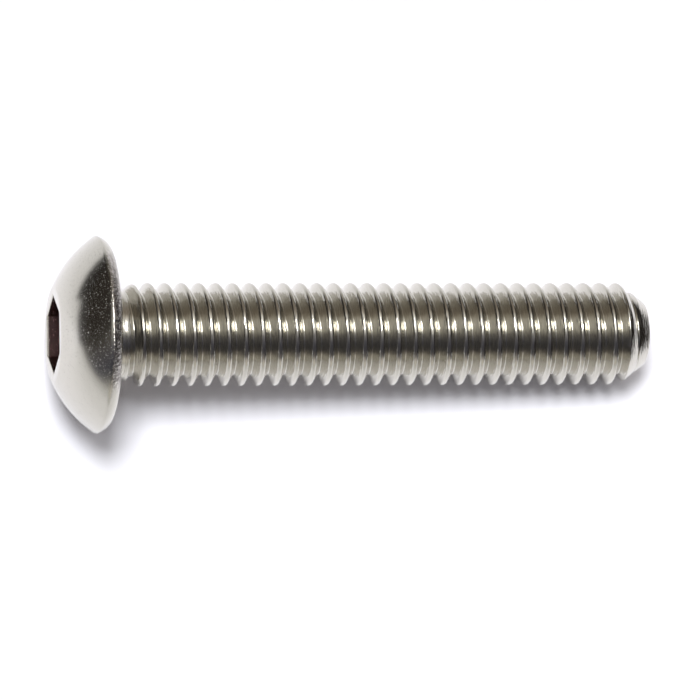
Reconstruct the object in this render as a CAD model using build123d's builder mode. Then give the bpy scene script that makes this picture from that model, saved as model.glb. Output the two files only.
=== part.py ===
import os
from math import atan, atan2, ceil, cos, degrees, hypot, radians, sin, tan

from build123d import *

# Button head socket screw, #10-32 UNF by 1 in, stainless steel, forged and thread-rolled in one
# piece. It lies as it comes to rest: the edge of the head and the last full crest touch one level.
# The origin is the centre of the flat face under the head. +X runs to the point, +Z is up.

# Shank: major diameter as rolled, a little under the nominal 4.826
thread_d = 4.76
length = 25.4
neck_d = 4.1
neck_length = 0.7
fillet_r = 0.42
point_d = 3.0
point_length = 1.2

# Thread: 32 to the inch, right-hand, one V groove with its bottom on the root and a flat crest
pitch = 0.79375
groove_depth = 0.36
crest_flat = 0.2

# Head: a spherical cap with a small flat on top, and a rounded band from its edge to the underside
head_d = 9.06
head_h = 2.45
head_flat_d = 4.3
rim_h = 0.5
rim_inset = 0.33
rim_r = 0.8

# Hexagon socket, 1/8 in across flats, with a bevelled mouth and a shallow cone for a floor.
# Its turn is the angle of one corner from the top, in the sense in which the thread turns.
socket_af = 3.175
socket_depth = 1.7
socket_turn = 39
mouth_bevel = 0.1
floor_angle = 150

crest_r = thread_d / 2
root_r = crest_r - groove_depth
groove_half = (pitch - crest_flat) / 2
head_r = head_d / 2
flat_r = head_flat_d / 2
neck_r = neck_d / 2
point_r = point_d / 2
point_start = length - point_length

# The cap's sphere is centred on the axis and passes through the flat's edge and the head's edge
cap_centre = (rim_h ** 2 + head_r ** 2 - head_h ** 2 - flat_r ** 2) / (2 * (head_h - rim_h))
cap_r = hypot(head_h + cap_centre, flat_r)

# The groove opens over half a turn out of the neck, then runs full depth from the top of the
# screw. Its helix is a chain of equal spans, as many as reach past the point.
groove_start = neck_length + pitch / 4
runout = pitch / 2
runout_rise = neck_r - root_r + pitch / 10
runout_cone = atan(runout_rise / runout)
span = 4 * pitch
spans = ceil((length + pitch - groove_start) / span)
rod_end = groove_start + spans * span + pitch

# Lean of the axis, from the head's edge to the last full crest underneath
full_crests = int((point_start - crest_flat / 2 - groove_start) / pitch)
last_crest = groove_start + full_crests * pitch + crest_flat / 2
lean = atan2(head_r - crest_r, last_crest + rim_h)

# seat: the face under the head, z out along the shank. section, profile: x along the shank, y out
# of it, to the top of the screw in section and to its side in profile.
seat = Plane(origin=(0, 0, 0), z_dir=(cos(lean), 0, -sin(lean)))
section = Plane(origin=seat.origin, x_dir=seat.z_dir, z_dir=seat.y_dir)
profile = Plane(origin=seat.origin, x_dir=seat.z_dir, z_dir=seat.x_dir)
top = seat.offset(-head_h)
axis = Axis(seat.origin, seat.z_dir)

with BuildPart() as screw:
    # Blank: head, fillet, neck and a rod that is still too long
    with BuildSketch(profile):
        with BuildLine():
            Polyline((rod_end, 0), (-head_h, 0), (-head_h, flat_r))
            RadiusArc((-head_h, flat_r), (-rim_h, head_r), cap_r)
            RadiusArc((-rim_h, head_r), (0, head_r - rim_inset), rim_r)
            Line((0, head_r - rim_inset), (0, neck_r + fillet_r))
            Bezier((0, neck_r + fillet_r), (0, neck_r), (fillet_r, neck_r))
            Line((fillet_r, neck_r), (neck_length, neck_r))
            Polyline((neck_length, neck_r), (neck_length + crest_r - neck_r, crest_r),
                     (rod_end, crest_r), (rod_end, 0))
        make_face()
    revolve(axis=axis)

    # Right-hand thread: one groove swept along the helix, its mouth a little over the crests
    over = crest_flat / 4
    with BuildLine() as helix:
        opening = Helix(pitch=pitch / cos(runout_cone), height=runout, radius=root_r + runout_rise,
                        center=seat.z_dir * (groove_start - runout), direction=seat.z_dir,
                        cone_angle=-degrees(runout_cone), mode=Mode.PRIVATE)
        add(opening.rotate(axis, 180))
        for number in range(spans):
            Helix(pitch=pitch, height=span, radius=root_r,
                  center=seat.z_dir * (groove_start + number * span), direction=seat.z_dir)
    with BuildSketch(section):
        with BuildLine():
            at = groove_start - runout
            bottom = -root_r - runout_rise
            mouth = groove_half * (1 + over / groove_depth)
            Polyline((at, bottom), (at - mouth, bottom - groove_depth - over),
                     (at + mouth, bottom - groove_depth - over), close=True)
        make_face()
    sweep(path=helix.wires()[0], is_frenet=True, mode=Mode.SUBTRACT)

    # Point: the rod is cut to length with a cone that thins out the last threads
    taper = (crest_r - point_r) / point_length
    with BuildSketch(section):
        with BuildLine():
            Polyline((point_start - over / taper, crest_r + over), (length, point_r), (length, 0),
                     (rod_end + over, 0), (rod_end + over, crest_r + over), close=True)
        make_face()
    revolve(axis=axis, mode=Mode.SUBTRACT)

    # Socket: the bevel of its mouth, its six walls, and the cone at its floor
    with BuildSketch(top):
        RegularPolygon(radius=socket_af / 2 + mouth_bevel, side_count=6, major_radius=False,
                       rotation=socket_turn)
    extrude(amount=mouth_bevel, taper=45, mode=Mode.SUBTRACT)
    with BuildSketch(top):
        RegularPolygon(radius=socket_af / 2, side_count=6, major_radius=False, rotation=socket_turn)
    extrude(amount=socket_depth, mode=Mode.SUBTRACT)
    with BuildSketch(section):
        with BuildLine():
            floor = socket_depth - head_h
            cone = socket_af / 2 / tan(radians(floor_angle / 2))
            Polyline((floor, 0), (floor, socket_af / 2), (floor + cone, 0), close=True)
        make_face()
    revolve(axis=axis, mode=Mode.SUBTRACT)

os.makedirs("parts", exist_ok=True)
screw.part.label = "screw"
export_step(screw.part, "parts/screw.step")
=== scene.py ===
from math import asin, atan2, cos, hypot, pi, radians, sin, tan

import bpy
from mathutils import Euler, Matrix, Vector


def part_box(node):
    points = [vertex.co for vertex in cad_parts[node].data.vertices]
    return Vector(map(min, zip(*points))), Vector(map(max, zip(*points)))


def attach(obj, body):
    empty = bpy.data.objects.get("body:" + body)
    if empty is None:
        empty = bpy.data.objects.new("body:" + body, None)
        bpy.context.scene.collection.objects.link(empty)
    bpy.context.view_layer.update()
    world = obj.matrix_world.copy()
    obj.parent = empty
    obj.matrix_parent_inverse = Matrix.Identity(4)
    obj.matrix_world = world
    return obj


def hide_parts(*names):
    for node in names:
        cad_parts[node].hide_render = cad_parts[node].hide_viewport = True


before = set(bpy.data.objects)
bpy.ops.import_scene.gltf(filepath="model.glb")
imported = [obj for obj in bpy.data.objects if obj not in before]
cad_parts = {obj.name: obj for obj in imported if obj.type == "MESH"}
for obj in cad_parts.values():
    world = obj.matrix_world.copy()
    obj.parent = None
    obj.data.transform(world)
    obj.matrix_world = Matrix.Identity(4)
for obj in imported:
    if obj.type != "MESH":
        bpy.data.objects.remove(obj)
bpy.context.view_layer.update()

# ---- How the screw lies ------------------------------------------------------------------
# A #10-32 button head screw, 1 in long, forged and thread-rolled from one stainless steel wire.
# It lies on the edge of its head and on the last full crest of its thread, so its axis dips.
# All sizes are in mm. "along" runs down the axis from the face under the head to the point.

MM = 1000
PITCH = 0.79375
CREST_R = 4.76 / 2
LENGTH = 25.4
POINT_LENGTH = 1.2
NECK_LENGTH = 0.7
HEAD_R = 9.06 / 2
HEAD_H = 2.45
RIM_H = 0.5

# The solid's crests are flat, and the edge of the last full one is what touches the table
CREST_FLAT = 0.2

groove_start = NECK_LENGTH + PITCH / 4
full_crests = int((LENGTH - POINT_LENGTH - CREST_FLAT / 2 - groove_start) / PITCH)
last_crest = groove_start + full_crests * PITCH + CREST_FLAT / 2
lean = atan2(HEAD_R - CREST_R, last_crest + RIM_H)

axis = Vector((cos(lean), 0, -sin(lean)))
upward = Vector((sin(lean), 0, cos(lean)))
sideways = Vector((0, -1, 0))

# The skin is one closed net: rows of points round the axis, from the socket's floor to the point
COLUMNS = 120
turns = [2 * pi * column / COLUMNS for column in range(COLUMNS)]
points = []
rows = []
faces = []


def place(along, radius, angle):
    """Adds a point of the skin and gives its number; angle runs from the top, as the thread turns."""
    points.append((along * axis + radius * (cos(angle) * upward + sin(angle) * sideways)) / MM)
    return len(points) - 1


def ring(along, radius):
    """Adds a row square to the axis; along is a number, radius a number or a function of the angle."""
    out = radius if callable(radius) else lambda angle: radius
    rows.append([place(along, out(angle), angle) for angle in turns])


def face(corners):
    """Adds a face, in which corners that are one point count once."""
    kept = list(dict.fromkeys(corners))
    if len(kept) > 2:
        faces.append(kept)


# ---- Socket ------------------------------------------------------------------------------
# A 1/8 in hexagon, punched cold into the head: straight walls, a mouth drawn in to a small round
# bevel along each side, and the shallow cone that the punch leaves as a floor.

SOCKET_AF = 3.175
SOCKET_DEPTH = 1.7
SOCKET_TURN = radians(39)
FLOOR_ANGLE = 150
MOUTH_BEVEL = 0.05
EDGE = 0.03

inner_r = SOCKET_AF / 2
floor_at = SOCKET_DEPTH - HEAD_H
floor_slope = tan(radians(FLOOR_ANGLE / 2))
wall_from = floor_at - EDGE
wall_to = MOUTH_BEVEL - HEAD_H


def hexagon(angle):
    """How far the socket's wall is from the axis at an angle."""
    return inner_r / cos((angle - SOCKET_TURN) % (pi / 3) - pi / 6)


def drawn_in(tilt):
    """A row of the mouth's round bevel; tilt goes from the wall, 0, to the head's flat, 90 degrees."""
    wider = 1 + MOUTH_BEVEL * (1 - cos(tilt)) / inner_r
    ring(MOUTH_BEVEL * (1 - sin(tilt)) - HEAD_H, lambda angle: hexagon(angle) * wider)


middle_of_floor = place(floor_at + inner_r / floor_slope, 0, 0)
rows.append([middle_of_floor] * COLUMNS)
for share in (0.04, 0.25, 0.5, 0.75, 0.97):
    ring(floor_at + inner_r * (1 - share) / floor_slope, inner_r * share)
ring(floor_at, inner_r - EDGE)
ring(floor_at, lambda angle: hexagon(angle) - EDGE)
for share in (0, 0.25, 0.5, 0.75, 0.95):
    ring(wall_from + share * (wall_to - wall_from), hexagon)
for degrees in (0, 22.5, 45, 67.5, 90):
    drawn_in(radians(degrees))

# ---- Head --------------------------------------------------------------------------------
# Upset in a die from the same wire: a spherical cap with a small flat on top, and a low rounded
# band where the die parts, which ends in a crisp edge. The flat underside has a fillet to the neck.

FLAT_R = 4.3 / 2
RIM_INSET = 0.33
RIM_R = 0.8
FILLET_R = 0.42
NECK_R = 4.1 / 2

cap_centre = (RIM_H ** 2 + HEAD_R ** 2 - HEAD_H ** 2 - FLAT_R ** 2) / (2 * (HEAD_H - RIM_H))
cap_r = hypot(HEAD_H + cap_centre, FLAT_R)
cap_from, cap_to = asin(FLAT_R / cap_r), asin(HEAD_R / cap_r)
band_tilt = atan2(RIM_INSET, RIM_H)
half_band = asin(hypot(RIM_H, RIM_INSET) / 2 / RIM_R)
band_from, band_to = band_tilt - half_band, band_tilt + half_band
underside_r = HEAD_R - RIM_INSET
fillet_edge_r = NECK_R + FILLET_R

# The rows nearest to a crease stand a little off it, which keeps the crease crisp
CAP_ROWS = 27
BAND_ROWS = 9

ring(-HEAD_H, FLAT_R - EDGE)
for step in range(CAP_ROWS):
    tilt = cap_from + (cap_to - cap_from) * (step + 0.2) / (CAP_ROWS - 0.6)
    ring(cap_centre - cap_r * cos(tilt), cap_r * sin(tilt))
for step in range(BAND_ROWS):
    tilt = band_from + (band_to - band_from) * (step + 0.4) / (BAND_ROWS - 0.6)
    ring(RIM_R * (sin(tilt) - sin(band_to)), underside_r + RIM_R * (cos(tilt) - cos(band_to)))
for share in (0.03, 0.35, 0.65, 0.97):
    ring(0, underside_r + share * (fillet_edge_r - underside_r))
for step in range(8):
    tilt = pi / 2 * step / 7
    ring(FILLET_R * (1 - cos(tilt)), fillet_edge_r - FILLET_R * sin(tilt))

# ---- Thread ------------------------------------------------------------------------------
# Rolled, not cut: the dies press the roots into a blank of the neck's size and squeeze the crests
# up round. It is right-handed, grows out of the neck over a little more than one turn, and is cut
# down by the cone of the point.

THREAD_ANGLE = 60
CREST_ROUND = 0.15
ROOT_ROUND = 0.05
CREST_TILTS = (10, 20, 33, 46, 60)
ROOT_TILTS = (60, 38, 18, 0)
GROWS_FROM = NECK_LENGTH - 0.25
RUNOUT = 0.95
POINT_R = 3.0 / 2
CONE_BLEND = 0.1

# The arcs of crest and root end where the straight flank between them has their slope
arc_end = radians(90 - THREAD_ANGLE / 2)
both_rounds = CREST_ROUND + ROOT_ROUND
flank_width = PITCH / 2 - both_rounds * sin(arc_end)
flank_depth = flank_width / tan(radians(THREAD_ANGLE / 2))
root_r = CREST_R - both_rounds * (1 - cos(arc_end)) - flank_depth

# One pitch of the thread's outline, from crest to crest, as places along the axis and radii
form = [(0, CREST_R)]
for tilt in map(radians, CREST_TILTS):
    form.append((CREST_ROUND * sin(tilt), CREST_R - CREST_ROUND * (1 - cos(tilt))))
for tilt in map(radians, ROOT_TILTS):
    form.append((PITCH / 2 - ROOT_ROUND * sin(tilt), root_r + ROOT_ROUND * (1 - cos(tilt))))
form += [(PITCH - offset, radius) for offset, radius in reversed(form[1:-1])]

thread_from = FILLET_R + 0.05
thread_to = LENGTH - EDGE


def smooth(low, high, value):
    """Eases from 0 to 1 as value goes from low to high."""
    share = min(max((value - low) / (high - low), 0), 1)
    return share * share * (3 - 2 * share)


def rolled(along, radius):
    """The thread's radius at a place, fading out into the neck and cut down by the point's cone."""
    full = NECK_R + (radius - NECK_R) * smooth(GROWS_FROM, GROWS_FROM + RUNOUT, along)
    cone = POINT_R + (CREST_R - POINT_R) * (LENGTH - along) / POINT_LENGTH
    overlap = max(CONE_BLEND - abs(cone - full), 0)
    return min(full, cone) - overlap ** 2 / (4 * CONE_BLEND)


ring(thread_from, NECK_R)
start_row = rows[-1]
ring(thread_to, rolled(thread_to, CREST_R))
end_row = rows.pop()

# Points of the helix that would lie past the first or the last row, or close by it, are that row's
CLOSE_BY = 0.01
crest_at = groove_start + PITCH / 2
helix_rows = []
for row in range(-2 * len(form), int((LENGTH / PITCH + 1) * len(form))):
    lap, station = divmod(row, len(form))
    offset, radius = form[station]
    numbers = []
    for column, angle in enumerate(turns):
        along = crest_at + (lap + angle / (2 * pi)) * PITCH + offset
        if along < thread_from + CLOSE_BY:
            numbers.append(start_row[column])
        elif along > thread_to - CLOSE_BY:
            numbers.append(end_row[column])
        else:
            numbers.append(place(along, rolled(along, radius), angle))
    helix_rows.append(numbers)

# Each row of the helix goes on, after a full turn, as the row one pitch further down
for row in range(len(helix_rows) - 1):
    for column in range(COLUMNS):
        following = (column + 1) % COLUMNS
        joined = row if following else row + len(form)
        if joined + 1 < len(helix_rows):
            face((helix_rows[row][column], helix_rows[row + 1][column],
                  helix_rows[joined + 1][following], helix_rows[joined][following]))

# ---- Point -------------------------------------------------------------------------------
# The blank is cut off square. Rolling pushes its skin on past its core, which leaves the end a
# little cupped inside a small bevel.

CUP = 0.06

head_rows = list(rows)
rows = [end_row]
end_r = rolled(thread_to, CREST_R) - EDGE
ring(LENGTH, end_r)
for share in (0.93, 0.8, 0.6, 0.35, 0.1):
    ring(LENGTH - CUP * smooth(0.95, 0.5, share), end_r * share)
middle_of_end = place(LENGTH - CUP, 0, 0)
rows.append([middle_of_end] * COLUMNS)

# ---- The screw as one piece --------------------------------------------------------------
# Socket, head, thread and point are one wire, so they are one mesh with one material. The rows of
# the head and of the point are square to the axis, and the thread's faces lie between them.

for block in (head_rows, rows):
    for near, far in zip(block, block[1:]):
        for column in range(COLUMNS):
            following = (column + 1) % COLUMNS
            face((near[column], far[column], far[following], near[following]))

mesh = bpy.data.meshes.new("button_head_screw")
mesh.from_pydata(points, [], faces)
mesh.validate()
mesh.shade_smooth()
mesh.set_sharp_from_angle(angle=radians(32))
screw = bpy.data.objects.new("button_head_screw", mesh)
bpy.context.scene.collection.objects.link(screw)

# A Mix node's inputs and outputs by number: two numbers, and two colours and the colour given
NUMBER_A, NUMBER_B = 2, 3
COLOUR_A, COLOUR_B, COLOUR = 6, 7, 2


def linear(hex_colour):
    """An sRGB hex colour as linear red, green, blue and alpha."""
    shares = [int(hex_colour[i:i + 2], 16) / 255 for i in (1, 3, 5)]
    return [c / 12.92 if c <= 0.04045 else ((c + 0.055) / 1.055) ** 2.4 for c in shares] + [1]


def node(tree, kind, settings, inputs):
    """Adds a node with its settings, and gives each input a value or a link from an output."""
    made = tree.nodes.new(kind)
    for name, value in settings.items():
        setattr(made, name, value)
    for name, value in inputs.items():
        if isinstance(value, bpy.types.NodeSocket):
            tree.links.new(value, made.inputs[name])
        else:
            made.inputs[name].default_value = value
    return made


# Stainless steel, passivated after forging and rolling: bright and faintly warm. The forged head is
# finely pitted, and the rolled thread has fine streaks round it. As the screw lies, its rim is rough
# on top and underneath, and smooth at both sides; there its grain is flecked with painted shade and
# painted glints.
STEEL, RIM_PAINTED_SHADE, RIM_PAINTED_GLINT, SOCKET_PAINTED_SHADE = "#C3C0B7", "#9A9591", "#E4E0DA", "#A28684"
ROUGHNESS = 0.19
PIT_SIZE, PIT_DEPTH = 0.07, 0.0095
PIT_FROM, PIT_FULL = 0.65, 0.8
RIM_GRAIN, RIM_DEPTH = 0.13, 0.045
FLECK_FROM, FLECK_FULL = 0.49, 0.6
STREAK_WIDTH, STREAK_LENGTH, STREAK_DEPTH = 0.07, 0.7, 0.022

# Where each finish starts and is full: along the axis, to the side of it, and away from it
SHANK_FROM, SHANK_FULL = 0.05, 0.5
RIM_FROM, RIM_FULL = -RIM_H - 0.02, -RIM_H + 0.06
UNDERSIDE_FROM, UNDERSIDE_FULL = -0.01, -0.08
SMOOTH_UNSHADED_FROM, ROUGH_PAINTED_SHADE_TO = 3.4, 2.8
SOCKET_FROM, SOCKET_FULL, SOCKET_TO = wall_to, wall_to + 0.1, -0.1
SOCKET_REACH = 1.9

stainless = bpy.data.materials.new("passivated_stainless_steel")
stainless.use_nodes = True
tree = stainless.node_tree
tree.nodes.clear()
here = node(tree, "ShaderNodeTexCoord", {}, {}).outputs["Object"]
on_screw = node(tree, "ShaderNodeMapping", {},
                {"Vector": here, "Rotation": (0, -lean, 0), "Scale": (MM, MM, MM)}).outputs[0]
apart = node(tree, "ShaderNodeSeparateXYZ", {}, {0: on_screw})
down_axis = apart.outputs["X"]

# The rough parts of the rim, which also carry its painted shade and painted glints: past the cap's
# crease, short of the underside and not far to the side
past_crease = node(tree, "ShaderNodeMapRange", {},
                   {"Value": down_axis, "From Min": RIM_FROM, "From Max": RIM_FULL})
above_edge = node(tree, "ShaderNodeMapRange", {},
                  {"Value": down_axis, "From Min": UNDERSIDE_FROM, "From Max": UNDERSIDE_FULL})
to_side = node(tree, "ShaderNodeMath", {"operation": "ABSOLUTE"}, {0: apart.outputs["Y"]})
off_sides = node(tree, "ShaderNodeMapRange", {},
                {"Value": to_side.outputs[0], "From Min": SMOOTH_UNSHADED_FROM, "From Max": ROUGH_PAINTED_SHADE_TO})
round_rim = node(tree, "ShaderNodeMath", {"operation": "MULTIPLY"},
                 {0: past_crease.outputs[0], 1: above_edge.outputs[0]})
on_rim = node(tree, "ShaderNodeMath", {"operation": "MULTIPLY"},
              {0: round_rim.outputs[0], 1: off_sides.outputs[0]})

# Relief in mm: pits and the rim's grain on the head, streaks drawn out round the shank
speckle = node(tree, "ShaderNodeTexNoise", {}, {"Vector": on_screw, "Scale": 1 / PIT_SIZE, "Detail": 2})
pits = node(tree, "ShaderNodeMapRange", {},
            {"Value": speckle.outputs["Fac"], "From Min": PIT_FROM, "From Max": PIT_FULL,
             "To Max": -PIT_DEPTH})
grain = node(tree, "ShaderNodeTexNoise", {},
             {"Vector": on_screw, "Scale": 1 / RIM_GRAIN, "Detail": 3, "Roughness": 0.65})
rough = node(tree, "ShaderNodeMath", {"operation": "MULTIPLY"}, {0: grain.outputs["Fac"], 1: RIM_DEPTH})
rough_rim = node(tree, "ShaderNodeMath", {"operation": "MULTIPLY"},
                 {0: rough.outputs[0], 1: on_rim.outputs[0]})
head_skin = node(tree, "ShaderNodeMath", {"operation": "ADD"},
                 {0: rough_rim.outputs[0], 1: pits.outputs[0]})
drawn_out = node(tree, "ShaderNodeMapping", {},
                 {"Vector": on_screw, "Scale": (1 / STREAK_WIDTH, 1 / STREAK_LENGTH, 1 / STREAK_LENGTH)})
streaks = node(tree, "ShaderNodeTexNoise", {}, {"Vector": drawn_out.outputs[0], "Scale": 1, "Detail": 2})
shank_skin = node(tree, "ShaderNodeMath", {"operation": "MULTIPLY"},
                  {0: streaks.outputs["Fac"], 1: STREAK_DEPTH})
on_shank = node(tree, "ShaderNodeMapRange", {},
                {"Value": down_axis, "From Min": SHANK_FROM, "From Max": SHANK_FULL})
skin = node(tree, "ShaderNodeMix", {"data_type": "FLOAT"},
            {"Factor": on_shank.outputs[0], NUMBER_A: head_skin.outputs[0],
             NUMBER_B: shank_skin.outputs[0]})
bump = node(tree, "ShaderNodeBump", {},
            {"Height": skin.outputs[0], "Strength": 1, "Distance": 1 / MM})

# The punched socket is painted darker and browner than the outside: painted shade in the recess
round_axis = node(tree, "ShaderNodeCombineXYZ", {}, {"Y": apart.outputs["Y"], "Z": apart.outputs["Z"]})
off_axis = node(tree, "ShaderNodeVectorMath", {"operation": "LENGTH"}, {0: round_axis.outputs[0]})
within = node(tree, "ShaderNodeMath", {"operation": "LESS_THAN"},
              {0: off_axis.outputs["Value"], 1: SOCKET_REACH})
below_mouth = node(tree, "ShaderNodeMapRange", {},
                   {"Value": down_axis, "From Min": SOCKET_FROM, "From Max": SOCKET_FULL})
above_neck = node(tree, "ShaderNodeMath", {"operation": "LESS_THAN"}, {0: down_axis, 1: SOCKET_TO})
in_head = node(tree, "ShaderNodeMath", {"operation": "MULTIPLY"},
               {0: below_mouth.outputs[0], 1: above_neck.outputs[0]})
in_socket = node(tree, "ShaderNodeMath", {"operation": "MULTIPLY"},
                 {0: in_head.outputs[0], 1: within.outputs[0]})

# The rim's grain in flecks of painted shade and painted glints, on its top and underside only
flecks = node(tree, "ShaderNodeMapRange", {},
              {"Value": grain.outputs["Fac"], "From Min": FLECK_FROM, "From Max": FLECK_FULL})
rim_grain_painted_shade = node(tree, "ShaderNodeMix", {"data_type": "RGBA"},
                 {"Factor": flecks.outputs[0], COLOUR_A: linear(RIM_PAINTED_SHADE), COLOUR_B: linear(RIM_PAINTED_GLINT)})
outside = node(tree, "ShaderNodeMix", {"data_type": "RGBA"},
               {"Factor": on_rim.outputs[0], COLOUR_A: linear(STEEL), COLOUR_B: rim_grain_painted_shade.outputs[COLOUR]})
all_over = node(tree, "ShaderNodeMix", {"data_type": "RGBA"},
                {"Factor": in_socket.outputs[0], COLOUR_A: outside.outputs[COLOUR],
                 COLOUR_B: linear(SOCKET_PAINTED_SHADE)})
metal = node(tree, "ShaderNodeBsdfPrincipled", {},
             {"Base Color": all_over.outputs[COLOUR], "Metallic": 1, "Roughness": ROUGHNESS,
              "Normal": bump.outputs["Normal"]})
node(tree, "ShaderNodeOutputMaterial", {}, {"Surface": metal.outputs["BSDF"]})
mesh.materials.append(stainless)

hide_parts("screw")
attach(screw, "root")

# ---- Table -------------------------------------------------------------------------------
# A white laminate table top. It is painted brighter than it is lit: a painted pool of light that is white
# round the screw and falls off to both sides, tinted blue so that the shadow on it reads violet. It
# keeps the screw's shadow. Places and sizes are in metres.

TABLE_SIZE = 1.2
TABLE_WHITE = (1.37, 1.38, 1.48, 1)
TABLE_BESIDE = (1.1, 1.11, 1.16, 1)
TABLE_FAR = (0.72, 0.72, 0.72, 1)
TABLE_LIT = "#D8D6D6"
WHITE_TO, BESIDE_FROM = 0.004, 0.013
BESIDE_TO, FAR_FROM = 0.0175, 0.055

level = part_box("screw")[0].z
side = TABLE_SIZE / 2
table_corners = ((-side, -side, level), (side, -side, level), (side, side, level), (-side, side, level))
table_mesh = bpy.data.meshes.new("table")
table_mesh.from_pydata(table_corners, [], [(0, 1, 2, 3)])
table = bpy.data.objects.new("table", table_mesh)
bpy.context.scene.collection.objects.link(table)

# White laminate: matt, with no gloss of its own. Its drawn white is for what is seen at first hand
# or in the metal, and other rays meet the pale grey that it is lit as.
laminate = bpy.data.materials.new("matt_white_laminate")
laminate.use_nodes = True
tree = laminate.node_tree
tree.nodes.clear()
path = node(tree, "ShaderNodeLightPath", {}, {})
seen_or_mirrored = node(tree, "ShaderNodeMath", {"operation": "ADD", "use_clamp": True},
                        {0: path.outputs["Is Camera Ray"], 1: path.outputs["Is Glossy Ray"]})
seen_at_all = node(tree, "ShaderNodeMath", {"operation": "ADD", "use_clamp": True},
                   {0: seen_or_mirrored.outputs[0], 1: path.outputs["Is Transmission Ray"]})
undimmed = node(tree, "ShaderNodeMath", {"operation": "LESS_THAN"},
                {0: path.outputs["Diffuse Depth"], 1: 0.5})
seen = node(tree, "ShaderNodeMath", {"operation": "MULTIPLY"},
            {0: seen_at_all.outputs[0], 1: undimmed.outputs[0]})
on_top = node(tree, "ShaderNodeTexCoord", {}, {}).outputs["Object"]
table_at = node(tree, "ShaderNodeSeparateXYZ", {}, {0: on_top})
# The painted pool of light: the drawn white dims with the distance to either side of the screw
off_screw = node(tree, "ShaderNodeMath", {"operation": "ABSOLUTE"}, {0: table_at.outputs["Y"]})
far_off = node(tree, "ShaderNodeMapRange", {},
               {"Value": off_screw.outputs[0], "From Min": BESIDE_TO, "From Max": FAR_FROM})
outer = node(tree, "ShaderNodeMix", {"data_type": "RGBA"},
             {"Factor": far_off.outputs[0], COLOUR_A: TABLE_BESIDE, COLOUR_B: TABLE_FAR})
close_up = node(tree, "ShaderNodeMapRange", {},
                {"Value": off_screw.outputs[0], "From Min": BESIDE_FROM, "From Max": WHITE_TO})
white = node(tree, "ShaderNodeMix", {"data_type": "RGBA"},
             {"Factor": close_up.outputs[0], COLOUR_A: outer.outputs[COLOUR], COLOUR_B: TABLE_WHITE})
shown = node(tree, "ShaderNodeMix", {"data_type": "RGBA"},
             {"Factor": seen.outputs[0], COLOUR_A: linear(TABLE_LIT), COLOUR_B: white.outputs[COLOUR]})
matt = node(tree, "ShaderNodeBsdfDiffuse", {}, {"Color": shown.outputs[COLOUR]})
node(tree, "ShaderNodeOutputMaterial", {}, {"Surface": matt.outputs["BSDF"]})
table_mesh.materials.append(laminate)

# ---- Light -------------------------------------------------------------------------------
# One soft lamp overhead, towards the head and the far side, in a pale room. Whoever works at the
# near side, and the dark beyond the head and off the point, are what the metal shows besides.

LAMP_HEIGHT = 1.5
LAMP_NEAR, LAMP_FAR = tan(radians(-1)), tan(radians(18.5))
LAMP_LEFT, LAMP_RIGHT = tan(radians(-16)), tan(radians(-1))
LAMP_RADIANCE = 22.5

lamp = bpy.data.lights.new("soft_lamp", "AREA")
lamp.shape = "RECTANGLE"
lamp.size = LAMP_HEIGHT * (LAMP_RIGHT - LAMP_LEFT)
lamp.size_y = LAMP_HEIGHT * (LAMP_FAR - LAMP_NEAR)
lamp.energy = LAMP_RADIANCE * pi * lamp.size * lamp.size_y
soft_lamp = bpy.data.objects.new("soft_lamp", lamp)
soft_lamp.location = LAMP_HEIGHT * Vector(((LAMP_LEFT + LAMP_RIGHT) / 2, (LAMP_NEAR + LAMP_FAR) / 2, 1))
bpy.context.scene.collection.objects.link(soft_lamp)

# Three dark cards stand on the table for the metal alone to show: one beyond the head, a far one
# behind it and one off the point. Each is a place, the way it runs and a height, in metres.
CARDS = ((Vector((-0.0264, 0.0303, level)), Vector((0.0239, 0.0225, 0)), 0.0115),
         (Vector((-0.125, 0.03, level)), Vector((0, 0.09, 0)), 0.02),
         (Vector((0.0375, 0.014, level)), Vector((0, 0.06, 0)), 0.012))

card_corners = []
for foot, run, height in CARDS:
    rise = Vector((0, 0, height))
    card_corners += [foot - run / 2, foot + run / 2, foot + run / 2 + rise, foot - run / 2 + rise]
card_mesh = bpy.data.meshes.new("dark_flags")
card_mesh.from_pydata(card_corners, [], [range(4 * card, 4 * card + 4) for card in range(len(CARDS))])
cards = bpy.data.objects.new("dark_flags", card_mesh)
cards.visible_camera = False
cards.visible_diffuse = False
cards.visible_shadow = False
bpy.context.scene.collection.objects.link(cards)

# Black card: matt, a soft dark with no shine
black_card = bpy.data.materials.new("matt_black_card")
black_card.use_nodes = True
tree = black_card.node_tree
tree.nodes.clear()
dull = node(tree, "ShaderNodeBsdfDiffuse", {}, {"Color": linear("#3A3634")})
node(tree, "ShaderNodeOutputMaterial", {}, {"Surface": dull.outputs["BSDF"]})
card_mesh.materials.append(black_card)

# The room's tones by how far a direction leans, in degrees, from the near side to the far side
ROOM_TONES = ((-90, "#EEEAE4"), (-80, "#FAF5EE"), (-70, "#D4CCC5"), (-60, "#6C6666"), (-50, "#4C4B4F"),
              (-40, "#44444D"), (-30, "#50505A"), (-20, "#717077"), (-12, "#908E8F"), (-5, "#DAD7D2"),
              (2, "#FFFEFB"), (25, "#FFFDF9"), (30, "#E6E0D6"), (36, "#BAB1A5"), (42, "#988E83"),
              (50, "#91877C"), (60, "#979087"), (70, "#A8A39D"), (80, "#C2BEB8"), (90, "#D2CEC8"))

# The low near wall, the dark beyond the head and the dark end of the room off the point. Each has a
# colour, and starts and is full where a direction has these shares of an axis.
NEAR_WALL, WALL_TOP, WALL_FROM, WALL_FULL = "#E1DED7", 0.4, -0.5, -0.85
DARK, DARK_TOWARD = "#37332F", Vector((-0.872, 0.432, 0.23))
DARK_FROM, DARK_FULL = cos(radians(60)), cos(radians(27))
ROOM_END, END_FROM, END_FULL = "#3C3A3C", 0.55, 0.8

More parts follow.
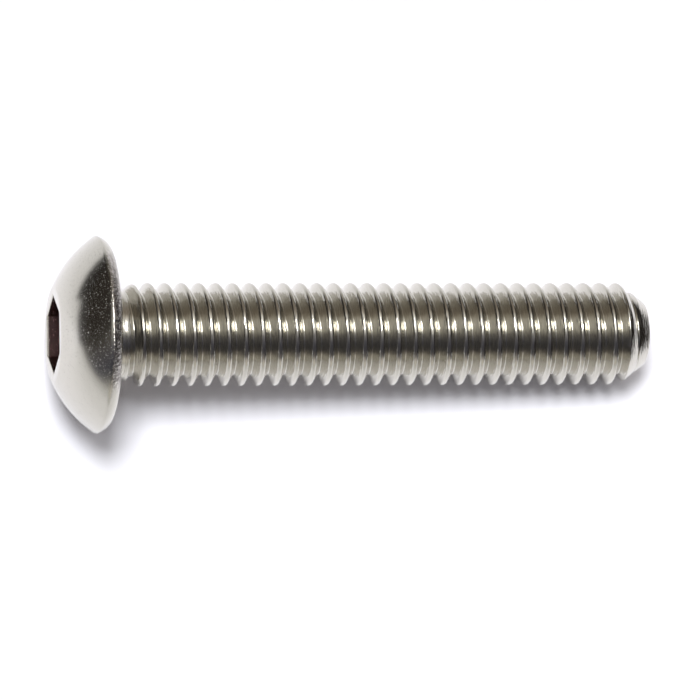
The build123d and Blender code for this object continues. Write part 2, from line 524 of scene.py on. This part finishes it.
world = bpy.data.worlds.new("pale_room")
bpy.context.scene.world = world
world.use_nodes = True
tree = world.node_tree
tree.nodes.clear()
look = node(tree, "ShaderNodeTexCoord", {}, {}).outputs["Generated"]
toward = node(tree, "ShaderNodeSeparateXYZ", {}, {0: look})
far_lean = node(tree, "ShaderNodeMath", {"operation": "ARCSINE"}, {0: toward.outputs["Y"]})
near_to_far = node(tree, "ShaderNodeMapRange", {},
                   {"Value": far_lean.outputs[0], "From Min": -pi / 2, "From Max": pi / 2})
room = node(tree, "ShaderNodeValToRGB", {}, {"Fac": near_to_far.outputs[0]})
ramp = room.color_ramp
ramp.interpolation = "LINEAR"
for extra in ROOM_TONES[2:]:
    ramp.elements.new(0.5)
for element, (angle, colour) in zip(ramp.elements, ROOM_TONES):
    element.position = (angle + 90) / 180
    element.color = linear(colour)

low = node(tree, "ShaderNodeMapRange", {"interpolation_type": "SMOOTHSTEP"},
           {"Value": toward.outputs["Z"], "From Min": WALL_TOP, "From Max": 0})
near_side = node(tree, "ShaderNodeMapRange", {"interpolation_type": "SMOOTHSTEP"},
                 {"Value": toward.outputs["Y"], "From Min": WALL_FROM, "From Max": WALL_FULL})
on_wall = node(tree, "ShaderNodeMath", {"operation": "MULTIPLY"},
               {0: low.outputs[0], 1: near_side.outputs[0]})
with_wall = node(tree, "ShaderNodeMix", {"data_type": "RGBA"},
                 {"Factor": on_wall.outputs[0], COLOUR_A: room.outputs["Color"],
                  COLOUR_B: linear(NEAR_WALL)})

dark_share = node(tree, "ShaderNodeVectorMath", {"operation": "DOT_PRODUCT"}, {0: look, 1: DARK_TOWARD})
beyond_head = node(tree, "ShaderNodeMapRange", {"interpolation_type": "SMOOTHSTEP"},
                   {"Value": dark_share.outputs["Value"], "From Min": DARK_FROM, "From Max": DARK_FULL})
with_dark = node(tree, "ShaderNodeMix", {"data_type": "RGBA"},
                 {"Factor": beyond_head.outputs[0], COLOUR_A: with_wall.outputs[COLOUR],
                  COLOUR_B: linear(DARK)})

off_point = node(tree, "ShaderNodeMapRange", {"interpolation_type": "SMOOTHSTEP"},
                 {"Value": toward.outputs["X"], "From Min": END_FROM, "From Max": END_FULL})
with_end = node(tree, "ShaderNodeMix", {"data_type": "RGBA"},
                {"Factor": off_point.outputs[0], COLOUR_A: with_dark.outputs[COLOUR],
                 COLOUR_B: linear(ROOM_END)})
backdrop = node(tree, "ShaderNodeBackground", {}, {"Color": with_end.outputs[COLOUR], "Strength": 1})
node(tree, "ShaderNodeOutputWorld", {}, {"Surface": backdrop.outputs[0]})

# ---- Camera ------------------------------------------------------------------------------
# A long lens looking steeply down on the screw, a little from the head's end and the near side.
# Its place follows from the point it looks at, its turn and its distance in metres.

LENS_MM = 304.6
SENSOR_MM = 36
CLIP_START = 0.01
CAMERA_DISTANCE = 0.27198
CAMERA_TARGET = Vector((11.223, -0.951, 0)) / MM
CAMERA_TURN = Euler((radians(11.776), radians(-7.755), radians(-2.795)))

lens = bpy.data.cameras.new("camera")
lens.lens = LENS_MM
lens.sensor_width = SENSOR_MM
lens.clip_start = CLIP_START
camera = bpy.data.objects.new("camera", lens)
camera.rotation_euler = CAMERA_TURN
camera.location = CAMERA_TARGET + CAMERA_TURN.to_matrix() @ Vector((0, 0, CAMERA_DISTANCE))
bpy.context.scene.collection.objects.link(camera)
bpy.context.scene.camera = camera
bpy.context.scene.view_settings.view_transform = "Standard"
